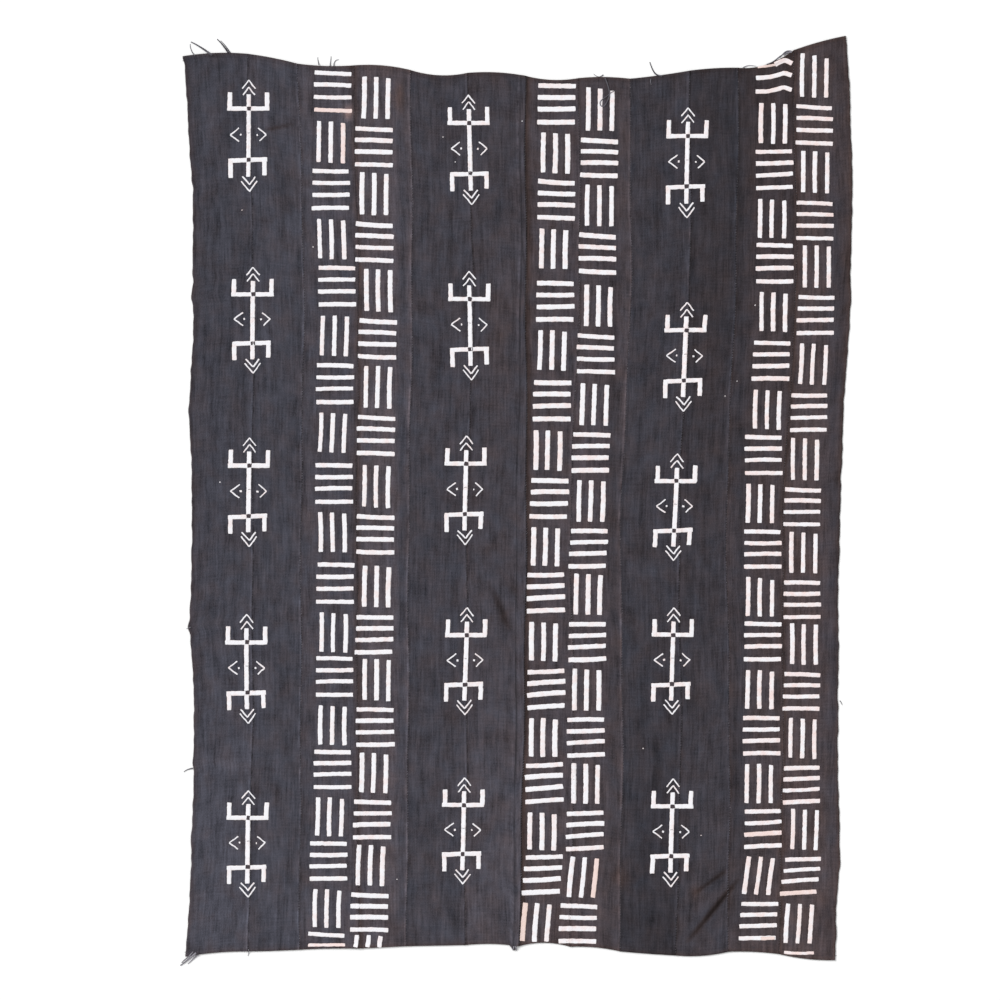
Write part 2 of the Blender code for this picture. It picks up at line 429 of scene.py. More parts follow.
def strip_rows():
    """The fine grid's shares along a strip, closer together in both hems."""
    hem = np.array(HEM_ROWS) * MM / CLOTH_HEIGHT
    rows = round(CLOTH_HEIGHT / ROW_PITCH)
    body = hem[-1] + (1 - 2 * hem[-1]) * np.arange(1, rows) / rows
    return np.concatenate((hem, body, 1 - hem[::-1]))


def seam_relief(edge_away, y, along, seam, on_left):
    """What a seam adds to the cloth's thickness, at distances from it, on the strip to its left or right."""
    ridge = RIDGE_HEIGHT * np.exp(-((edge_away - RIDGE_FROM_EDGE) / RIDGE_SPREAD) ** 2)
    round_off = (EDGE_THICKNESS - CLOTH_THICKNESS) * np.exp(-(edge_away / EDGE_ROUND) ** 2)
    pucker = PUCKER_HEIGHT * np.sin(math.tau * y / PUCKER_LENGTH + 1.9 * seam + 1.7 * np.sin(y * 41 + seam))
    relief = ridge + round_off + pucker * np.exp(-edge_away / PUCKER_REACH) * (1 - np.exp(-edge_away / MM))
    if seam == LAPPED_SEAM and on_left:
        inside = np.clip(edge_away / lap_width(along), 0, 1)
        relief = relief + LAP_HEIGHT * np.clip((1 - inside) * 9, 0, 1) + LAP_ROLL * np.cos(
            2 * math.tau * inside) * (inside < 1)
    return relief


def strip_tones(number, x, y, along, from_left, from_right, to_hem):
    """How brown and how light a strip is at each point of its grid: its dye, stains and worn patches, with
    painted shade in its creases and seam furrows and painted highlights on its seam crests and raised
    creases.
    """
    dye = DYES[number]
    brown = np.full_like(x, dye.brown)
    light = smooth_run((dye.head, dye.half, dye.foot), along)
    for patch in PATCHES:
        middle = on_chart(patch.right, patch.down)
        share = np.exp(-((x - middle.x) / (patch.wide * SQUARE)) ** 2
                       - ((y - middle.y) / (patch.high * SQUARE)) ** 2)
        brown = brown + patch.browner * share
        light = light * (1 + patch.lighter * share)
    # Painted shade along the creases' troughs and painted highlight along their ridges; the darkest are
    # browner too
    for crease in CREASES:
        share = crease_share(crease, x, y)
        light = light * (1 - crease.shade * share)
        brown = brown + 1.4 * max(crease.shade - 0.2, 0) * share
    # Along the seam at this strip's left selvedge: darker and browner cloth, and painted shade in the seam's
    # furrow
    if number > 0:
        seam = SEAMS[number - 1]
        share = np.exp(-(from_left / (seam.reach * MM)) ** 2)
        furrow = np.exp(-((from_left - FURROW_FROM_SEAM) / FURROW_SPREAD) ** 2)
        light = light * (1 - seam.right_shade * share) * (1 - seam.furrow * furrow * seam_dashes(y, number))
        brown = brown + 1.6 * seam.right_shade * share
    # Along the seam at this strip's right selvedge: darker and browner cloth, and a painted highlight on the
    # seam's crest
    if number < len(STRIPS) - 1:
        seam = SEAMS[number]
        share = np.exp(-(from_right / (seam.reach * MM)) ** 2)
        crest = np.exp(-((from_right - CREST_FROM_SEAM) / CREST_SPREAD) ** 2)
        light = light * (1 - seam.left_shade * share) * (1 + seam.crest * crest * seam_dashes(-y, number))
        brown = brown + 1.6 * seam.left_shade * share
    if number + 1 == LAPPED_SEAM:
        past = from_right - lap_width(along)
        turned = np.exp(-((past - LAP_EDGE_FROM) / LAP_EDGE_SPREAD) ** 2)
        sewn = np.exp(-((past - LAP_SEWN_FROM) / LAP_SEWN_SPREAD) ** 2) * seam_dashes(y + 0.2, number)
        below = np.clip(3 * along, 0, 1)  # its edge is pale at the head and dark further down
        light = light * (1 + LAP_PALE * (past < 0)) * (1 - LAP_EDGE_DARK * (0.4 + 0.6 * below) * turned)
        light = light * (1 + LAP_SEWN_PALE * (1.8 - 0.8 * below) * sewn)
    outer = to_hem
    if number == 0:
        outer = np.minimum(outer, from_left)
    if number == len(STRIPS) - 1:
        outer = np.minimum(outer, from_right)
    rim = np.exp(-outer / EDGE_REACH)
    return np.clip(brown + EDGE_BROWN * rim, 0, 1), light * (1 - EDGE_DARK * rim)


def new_object(name, data, collection=bpy.context.scene.collection):
    made = bpy.data.objects.new(name, data)
    collection.objects.link(made)
    return made


def note(mesh, name, values):
    """Gives a mesh one number at each of its points."""
    mesh.attributes.new(name, "FLOAT", "POINT").data.foreach_set("value", values)


def strip_object(number, cloth):
    """One strip: a flat grid with an upper and a lower face, laid in plan and lifted over the folds."""
    along = strip_rows()
    shares = strip_shares(number, along)
    rows, columns = shares.shape
    bm = bmesh.new()
    bmesh.ops.create_grid(bm, x_segments=columns - 1, y_segments=rows - 1, size=0.5)
    raised = bmesh.ops.extrude_face_region(bm, geom=bm.faces[:])
    for item in raised["geom"]:
        if isinstance(item, bmesh.types.BMVert):
            item.co.z = 1
    bmesh.ops.recalc_face_normals(bm, faces=bm.faces)
    name = f"woven_strip_{number + 1:02d}"
    mesh = bpy.data.meshes.new(name)
    bm.to_mesh(mesh)
    bm.free()

    grid = np.empty(len(mesh.vertices) * 3)
    mesh.vertices.foreach_get("co", grid)
    grid = grid.reshape(-1, 3)
    column = np.rint((grid[:, 0] + 0.5) * (columns - 1)).astype(int)
    row = np.rint((0.5 - grid[:, 1]) * (rows - 1)).astype(int)
    upper = grid[:, 2] > 0.5
    down = along[row]
    share = shares[row, column]
    x, y = place(number, share, down)
    width = seam_x(number + 1, down) - seam_x(number, down)
    from_left = share * width
    from_right = (1 - share) * width
    to_hem = np.minimum(down, 1 - down) * CLOTH_HEIGHT

    thick = CLOTH_THICKNESS + seam_relief(from_left, y, down, number, False)
    thick = thick + seam_relief(from_right, y, down, number + 1, True)
    roll = np.clip(to_hem / HEM_DEPTH, 0, 1)
    thick = thick + HEM_HEIGHT * np.sin(np.pi * np.clip(0.25 + 0.75 * roll, 0, 1))
    thick = thick - HEM_GROOVE_DEPTH * np.exp(-((to_hem - HEM_GROOVE_AT) / HEM_GROOVE_SPREAD) ** 2)
    for crease in CREASES:
        thick = thick + crease.height * MM * crease_share(crease, x, y) * np.clip(to_hem / CREASE_FADE, 0, 1)
    under = lift(x, y)
    top = under + np.maximum(thick, LEAST_THICKNESS)
    place_of = np.stack((x, y, np.where(upper, top, under)), axis=1)
    mesh.vertices.foreach_set("co", place_of.ravel())

    # These tones carry painted shade in the creases and seam furrows and painted highlights on the seam
    # crests and raised creases
    brown, light = strip_tones(number, x, y, down, from_left, from_right, to_hem)
    note(mesh, "brown", brown)
    note(mesh, "light", light)

    loops = np.empty(len(mesh.loops), int)
    mesh.loops.foreach_get("vertex_index", loops)
    weave = np.stack((from_left + number * WEAVE_SHIFT, down * CLOTH_HEIGHT), axis=1)[loops]
    mesh.uv_layers.new(name="weave").data.foreach_set("uv", weave.ravel())
    mesh.polygons.foreach_set("use_smooth", np.ones(len(mesh.polygons), bool))
    return new_object(name, mesh, cloth)


def linear(hex_colour):
    """An sRGB hex colour as linear RGBA."""
    parts = [int(hex_colour[i:i + 2], 16) / 255 for i in (1, 3, 5)]
    return (*[p / 12.92 if p <= 0.04045 else ((p + 0.055) / 1.055) ** 2.4 for p in parts], 1)


def node(tree, kind, inputs=None, **settings):
    """One node with its settings. An input is given a value, or another node's socket to link to."""
    made = tree.nodes.new(kind)
    for name, value in settings.items():
        setattr(made, name, value)
    for name, value in (inputs or {}).items():
        if isinstance(value, bpy.types.NodeSocket):
            tree.links.new(value, made.inputs[name])
        else:
            made.inputs[name].default_value = value
    return made


def maths(tree, operation, *values):
    """One sum on numbers."""
    return node(tree, "ShaderNodeMath", dict(enumerate(values)), operation=operation).outputs[0]


def vectors(tree, operation, *values):
    """One sum on vectors."""
    return node(tree, "ShaderNodeVectorMath", dict(enumerate(values)), operation=operation).outputs[0]


def scaled(tree, vector, scale):
    """A vector or a colour made longer or shorter."""
    return node(tree, "ShaderNodeVectorMath", {0: vector, "Scale": scale}, operation="SCALE").outputs[0]


def ramp(tree, value, start, end, low, high):
    """A number that goes from low to high while the value goes from start to end."""
    return node(tree, "ShaderNodeMapRange", {"Value": value, 1: start, 2: end, 3: low, 4: high}).outputs[0]


def mixed(tree, share, first, second):
    """The first colour with a share of the second. Each is an sRGB hex colour or a socket."""
    first, second = (linear(tone) if isinstance(tone, str) else tone for tone in (first, second))
    return node(tree, "ShaderNodeMixRGB", {
        "Fac": share, "Color1": first, "Color2": second}, use_clamp=True).outputs[0]


def noted(tree, name):
    """The number that a mesh was given at its points."""
    return node(tree, "ShaderNodeAttribute", attribute_name=name).outputs["Fac"]


def new_material(name):
    """A material, with its tree and its shader."""
    material = bpy.data.materials.new(name)
    material.use_nodes = True
    return material, material.node_tree, material.node_tree.nodes["Principled BSDF"]


def dress(tree, shader, colour, height, strength, depth, looks):
    """Gives a shader its colour, its bump and its other looks, by the names of its inputs."""
    bump = node(tree, "ShaderNodeBump", {"Height": height, "Strength": strength, "Distance": depth})
    tree.links.new(colour, shader.inputs["Base Color"])
    tree.links.new(bump.outputs[0], shader.inputs["Normal"])
    for name, value in looks.items():
        shader.inputs[name].default_value = value


# Handspun cotton under mud dye. It is matt and slightly furry, with a plain weave, uneven warp threads that
# run the whole length as fine streaks, and dye that lies unevenly from thread to thread.
DYE_BLUE_BLACK = "#42424B"
DYE_BROWN_BLACK = "#4B3E3D"
THREAD_PITCH = 2.4 * MM  # the real threads are about 1.2 mm apart, too fine to show in the render
STREAK_WIDTH = 3.0 * MM
STREAK_LENGTH = 46 * MM
BAND_WIDTH = 9 * MM
BAND_LENGTH = 150 * MM
WEFT_WIDTH = 42 * MM
WEFT_LENGTH = 3.4 * MM
MOTTLE = 25 * MM
TURNED = 34 * MM
SLUB = 2.1 * MM  # nubs and fluff of the handspun thread
RELIEF = 0.35 * MM


def weave_height(tree, vector, pitch):
    """The pillows of a plain weave, with every other one higher: a height from about 0 to 1."""
    wander = node(tree, "ShaderNodeTexNoise", {"Vector": vector, "Scale": 1 / (26 * MM), "Detail": 1.0})
    bent = vectors(tree, "MULTIPLY", wander.outputs["Color"], (pitch * 0.9,) * 3)
    turns = scaled(tree, vectors(tree, "ADD", vector, bent), math.pi / pitch)
    split = node(tree, "ShaderNodeSeparateXYZ", {0: vectors(tree, "SINE", turns)})
    over = maths(tree, "MULTIPLY", split.outputs[0], split.outputs[1])
    return maths(tree, "MULTIPLY_ADD", over, 0.35, maths(tree, "ABSOLUTE", over))


def stretched_noise(tree, vector, width, length, detail=2.0):
    """Noise drawn out along the strip."""
    drawn = node(tree, "ShaderNodeMapping", {"Vector": vector, "Scale": (1 / width, 1 / length, 1 / width)})
    return node(tree, "ShaderNodeTexNoise", {
        "Vector": drawn.outputs[0], "Scale": 1.0, "Detail": detail, "Roughness": 0.6}).outputs["Fac"]


def add_share(tree, total, noise, amount):
    """A running total with the noise's swing about its middle added to it."""
    return maths(tree, "MULTIPLY_ADD", maths(tree, "SUBTRACT", noise, 0.5), amount, total)


def mud_dyed_cotton():
    """The dyed cloth. Each strip's own tones come from its points."""
    material, tree, shader = new_material("mud_dyed_handspun_cotton")
    weave = node(tree, "ShaderNodeUVMap", uv_map="weave").outputs[0]
    streak = stretched_noise(tree, weave, STREAK_WIDTH, STREAK_LENGTH)
    slub = stretched_noise(tree, weave, SLUB, SLUB * 1.4, 1.0)
    uneven = 1.0
    for noise, amount in (
            (streak, 1.1), (stretched_noise(tree, weave, BAND_WIDTH, BAND_LENGTH), 1.05),
            (stretched_noise(tree, weave, WEFT_WIDTH, WEFT_LENGTH), 0.5),
            (stretched_noise(tree, weave, MOTTLE, MOTTLE * 1.6, 3.0), 1.1), (slub, 0.75)):
        uneven = add_share(tree, uneven, noise, amount)
    turned = add_share(tree, noted(tree, "brown"), stretched_noise(tree, weave, TURNED, TURNED * 1.3), 1.1)
    hue = mixed(tree, turned, DYE_BLUE_BLACK, DYE_BROWN_BLACK)
    # The points' light carries painted shade and painted highlights from the creases and seams, besides the
    # dye's own tone
    colour = scaled(tree, hue, maths(tree, "MULTIPLY", uneven, noted(tree, "light")))
    height = add_share(tree, weave_height(tree, weave, THREAD_PITCH), slub, 0.8)
    height = add_share(tree, height, streak, 0.9)
    dress(tree, shader, colour, height, 0.8, RELIEF, {
        "Roughness": 0.95, "Specular IOR Level": 0.1, "Sheen Weight": 0.04, "Sheen Roughness": 0.5})
    return material


cloth_parts = bpy.data.collections.new("woven_strips")
bpy.context.scene.collection.children.link(cloth_parts)
dyed_cotton = mud_dyed_cotton()
strips = [strip_object(number, cloth_parts) for number in range(len(STRIPS))]
for number, strip in enumerate(strips):
    strip.data.materials.append(dyed_cotton)
    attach(strip, "root")
    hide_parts(f"strip_{number + 1:02d}")

# The sewing
# Cotton thread, whipped over both selvedges of each seam in short slanting stitches, and run along each hem.
# Some seams are sewn with a paler thread, which also paints in the thin light line of a highlight along them.
THREAD = 0.65 * MM  # thickness
SEAM_STITCH_PITCH = 4.4 * MM
SEAM_STITCH_REACH = 1.9 * MM  # to each side of its seam
SEAM_STITCH_SLANT = 1.1 * MM
HEM_STITCH_PITCH = 7 * MM
HEM_STITCH_REACH = 0.5 * MM
HEM_STITCH_SLANT = 1.6 * MM
HEM_SEWN_AT = HEM_DEPTH + 0.4 * MM
HEM_THREAD_PALE = -0.3
STITCH_SEED = 7
SEAM_GUIDE_STEPS = 300
HEM_GUIDE_STEPS = 16


def guide_object(name, lines, **tones):
    """Guide lines as bare edges. Each tone gives one number for each line."""
    points = []
    edges = []
    owner = []
    for number, line in enumerate(lines):
        first = len(points)
        points += [(point[0], point[1], 0.0) for point in line]
        edges += [(first + i, first + i + 1) for i in range(len(line) - 1)]
        owner += [number] * len(line)
    mesh = bpy.data.meshes.new(name)
    mesh.from_pydata(points, edges, [])
    for tone, values in tones.items():
        note(mesh, tone, np.asarray(values, float)[owner])
    return new_object(name, mesh)


def new_tree(name, sockets):
    """An empty tree of geometry nodes with named inputs. Each socket is a name and its type."""
    tree = bpy.data.node_groups.new(name, "GeometryNodeTree")
    tree.interface.new_socket("Guides", in_out="INPUT", socket_type="NodeSocketGeometry")
    for socket, kind in sockets.items():
        tree.interface.new_socket(socket, in_out="INPUT", socket_type="NodeSocket" + kind)
    tree.interface.new_socket("Result", in_out="OUTPUT", socket_type="NodeSocketGeometry")
    return tree, node(tree, "NodeGroupInput").outputs


def grow(guide, tree, values):
    """Runs a tree on its guide lines and keeps the result as a plain mesh in the guide's place."""
    modifier = guide.modifiers.new(tree.name, "NODES")
    modifier.node_group = tree
    for item in tree.interface.items_tree:
        if item.in_out == "INPUT" and item.name in values:
            modifier[item.identifier] = values[item.name]
    graph = bpy.context.evaluated_depsgraph_get()
    graph.update()
    mesh = bpy.data.meshes.new_from_object(guide.evaluated_get(graph))
    guide.modifiers.remove(modifier)
    guide.data = mesh
    bm = bmesh.new()
    bm.from_mesh(mesh)
    bmesh.ops.recalc_face_normals(bm, faces=bm.faces)
    bm.to_mesh(mesh)
    bm.free()
    mesh.name = guide.name
    return guide


def carried(tree, name, kind="FLOAT"):
    """What the guide lines carry at each point."""
    return node(tree, "GeometryNodeInputNamedAttribute", {"Name": name}, data_type=kind).outputs[0]


RAY_FROM = 0.1  # well above the cloth
EDGE_FROM = 4 * MM  # just above its hems


def drop_on_cloth(tree, geometry, cloth, above, to_edge=False):
    """Moves points straight down onto the cloth, or a little above it. Points beside the cloth stay there, or
    are drawn in to its edge."""
    surface = node(tree, "GeometryNodeCollectionInfo", {"Collection": cloth})
    surface = node(tree, "GeometryNodeRealizeInstances", {0: surface.outputs[0]})
    position = node(tree, "GeometryNodeInputPosition").outputs[0]
    high = vectors(tree, "ADD", vectors(tree, "MULTIPLY", position, (1, 1, 0)), (0, 0, RAY_FROM))
    ray = node(tree, "GeometryNodeRaycast", {
        "Target Geometry": surface.outputs[0], "Source Position": high,
        "Ray Direction": (0, 0, -1), "Ray Length": 2 * RAY_FROM})
    hit = ray.outputs["Hit Position"]
    moved = ray.outputs["Is Hit"]
    if to_edge:
        near = vectors(tree, "ADD", high, (0, 0, EDGE_FROM - RAY_FROM))
        edge = node(tree, "GeometryNodeProximity", {0: surface.outputs[0], 2: near})
        hit = node(tree, "GeometryNodeSwitch", {
            0: ray.outputs["Is Hit"], 1: edge.outputs["Position"], 2: hit}, input_type="VECTOR").outputs[0]
        moved = True
    rise = node(tree, "ShaderNodeCombineXYZ", {"Z": above})
    laid = node(tree, "GeometryNodeSetPosition", {
        "Geometry": geometry, "Selection": moved,
        "Position": vectors(tree, "ADD", hit, rise.outputs[0])})
    return laid.outputs[0]


def stitch_tree():
    """Stitches set across guide lines at an even pitch, slanted and a little uneven."""
    tree, given = new_tree("whipped_stitches", {
        "Cloth": "Collection", "Pitch": "Float", "Reach": "Float", "Slant": "Float", "Thread": "Float",
        "Seed": "Int", "Finish": "Material"})
    line = node(tree, "GeometryNodeMeshToCurve", {0: given["Guides"]})
    line = node(tree, "GeometryNodeResampleCurve", {"Curve": line.outputs[0], "Length": given["Pitch"]},
                mode="LENGTH")
    points = node(tree, "GeometryNodeCurveToPoints", {"Curve": line.outputs[0]}, mode="EVALUATED")
    laid = drop_on_cloth(tree, points.outputs["Points"], given["Cloth"], 0.0)
    tangent = node(tree, "GeometryNodeInputTangent")
    captured = node(tree, "GeometryNodeStoreNamedAttribute", {
        "Geometry": line.outputs[0], "Name": "run", "Value": tangent.outputs[0]},
        data_type="FLOAT_VECTOR", domain="POINT")
    tree.links.new(captured.outputs[0], points.inputs["Curve"])
    facing = node(tree, "FunctionNodeAlignRotationToVector", {
        "Vector": carried(tree, "run", "FLOAT_VECTOR")}, axis="Y", pivot_axis="Z")
    swing = node(tree, "FunctionNodeRandomValue", {2: -0.3, 3: 0.3, "Seed": given["Seed"]}, data_type="FLOAT")
    turn = node(tree, "ShaderNodeCombineXYZ", {"Z": swing.outputs[1]})
    turned = node(tree, "FunctionNodeRotateRotation", {
        "Rotation": facing.outputs[0], "Rotate By": turn.outputs[0]}, rotation_space="LOCAL")
    size = node(tree, "FunctionNodeRandomValue", {2: 0.8, 3: 1.2, "Seed": given["Seed"]}, data_type="FLOAT")

    start_x = maths(tree, "MULTIPLY", given["Reach"], -1.0)
    start_y = maths(tree, "MULTIPLY", given["Slant"], -1.0)
    sunk = maths(tree, "MULTIPLY", given["Thread"], -0.5)
    crown = maths(tree, "MULTIPLY", given["Thread"], 1.1)
    start = node(tree, "ShaderNodeCombineXYZ", {0: start_x, 1: start_y, 2: sunk}).outputs[0]
    middle = node(tree, "ShaderNodeCombineXYZ", {2: crown}).outputs[0]
    end = node(tree, "ShaderNodeCombineXYZ", {0: given["Reach"], 1: given["Slant"], 2: sunk}).outputs[0]
    arc = node(tree, "GeometryNodeCurveQuadraticBezier", {
        "Resolution": 4, "Start": start, "Middle": middle, "End": end})
    half = maths(tree, "MULTIPLY", given["Thread"], 0.5)
    ring = node(tree, "GeometryNodeCurvePrimitiveCircle", {"Resolution": 5, "Radius": half})
    stitch = node(tree, "GeometryNodeCurveToMesh", {
        "Curve": arc.outputs[0], "Profile Curve": ring.outputs[0], "Fill Caps": True})
    sewn = node(tree, "GeometryNodeInstanceOnPoints", {
        "Points": laid, "Instance": stitch.outputs[0], "Rotation": turned.outputs[0],
        "Scale": size.outputs[1]})
    real = node(tree, "GeometryNodeRealizeInstances", {0: sewn.outputs[0]})
    finish = node(tree, "GeometryNodeSetMaterial", {"Geometry": real.outputs[0], "Material": given["Finish"]})
    node(tree, "NodeGroupOutput", {0: finish.outputs[0]})
    return tree


# Twisted cotton thread. The dark thread has taken the same dye, the paler one has lost it. On some seams the
# paler thread also paints in a highlight.
THREAD_DARK = "#34313A"
THREAD_PALE = "#8A8790"
MARK_PALE = "#F1F0F4"


def sewing_cotton():
    material, tree, shader = new_material("twisted_sewing_cotton")
    place_at = node(tree, "ShaderNodeTexCoord").outputs["Object"]
    twist = node(tree, "ShaderNodeTexNoise", {"Vector": place_at, "Scale": 1 / (1.4 * MM), "Detail": 2.0})
    patchy = node(tree, "ShaderNodeTexNoise", {"Vector": place_at, "Scale": 1 / (24 * MM), "Detail": 2.0})
    worn = add_share(tree, noted(tree, "pale"), patchy.outputs["Fac"], 1.6)
    thread = mixed(tree, worn, THREAD_DARK, THREAD_PALE)
    clean = mixed(tree, noted(tree, "bleached"), thread, MARK_PALE)
    colour = scaled(tree, clean, add_share(tree, 1.0, twist.outputs["Fac"], 0.6))
    dress(tree, shader, colour, twist.outputs["Fac"], 0.5, 0.2 * MM, {"Roughness": 0.9, "Sheen Weight": 0.1})
    return material


thread_cotton = sewing_cotton()
stitches = stitch_tree()
steps = np.linspace(0.004, 0.996, SEAM_GUIDE_STEPS)
seam_lines = []
for seam in range(1, len(STRIPS)):
    x, y = place(seam, 0.0, steps)
    seam_lines.append(list(zip(x + SELVEDGE_LAP, y)))
# The seams' paler threads also paint in a highlight along them
seam_sewing = grow(
    guide_object("seam_sewing", seam_lines, pale=[seam.thread for seam in SEAMS]),
    stitches, {
        "Cloth": cloth_parts, "Pitch": SEAM_STITCH_PITCH, "Reach": SEAM_STITCH_REACH,
        "Slant": SEAM_STITCH_SLANT, "Thread": THREAD, "Seed": STITCH_SEED, "Finish": thread_cotton})

hem_lines = []
for number in range(len(STRIPS)):
    shares = np.linspace(0.0, 1.0, HEM_GUIDE_STEPS)
    for away in (HEM_SEWN_AT / CLOTH_HEIGHT, 1 - HEM_SEWN_AT / CLOTH_HEIGHT):
        x, y = place(number, shares, np.full(HEM_GUIDE_STEPS, away))
        hem_lines.append(list(zip(x, y)))
hem_sewing = grow(
    guide_object("hem_sewing", hem_lines, pale=[HEM_THREAD_PALE] * len(hem_lines)),
    stitches, {
        "Cloth": cloth_parts, "Pitch": HEM_STITCH_PITCH, "Reach": HEM_STITCH_REACH,
        "Slant": HEM_STITCH_SLANT, "Thread": THREAD, "Seed": STITCH_SEED, "Finish": thread_cotton})
for sewing in (seam_sewing, hem_sewing):
    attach(sewing, "root")

# The bars
# Six columns of small blocks, where four bars that lie across take turns with three that stand. The dye has
# been taken out along each bar with a stick, which leaves the cotton pale, with uneven sides and soft ends.
# One row for each bar of a block, in squares of the chart. Bars that lie across: how far down the block
# they lie, how much shorter they are, and how far they climb to the right. Bars that stand: how far right
# they are, and how far their heads and feet step down.
BarAcross = namedtuple("BarAcross", "down shorter climb")
FOUR_BARS = (
    BarAcross(0, 0.8, -0.8), BarAcross(0.317, 0.1, 0.1), BarAcross(0.64, 0, 0.6), BarAcross(1, 0, 0.1))
BarUpright = namedtuple("BarUpright", "right head foot")
THREE_BARS = (BarUpright(0, 0, -0.3), BarUpright(11.8, 0.4, 0.1), BarUpright(23.9, 1.5, 0.5))
BAR_LEAN = -0.4
MARK_SEED = 11
MARK_STEP = 1.9 * MM
MARK_WAVER = 2.3 * MM
MARK_WAVER_SIZE = 7 * MM
MARK_PROUD = 0.3 * MM
MARK_END = 1.6 * MM  # how far from its ends a mark starts to narrow
LAYER = 0.05 * MM  # between marks that cross

# A block is its first and last bar, or its bars' heads and feet, and its left side, all on the chart. Where
# it is drawn askew, rise says how far its bars climb to the right, and lean how far their feet go there.
Block = namedtuple("Block", "top bottom left rise lean bars", defaults=(0, 0, 4))
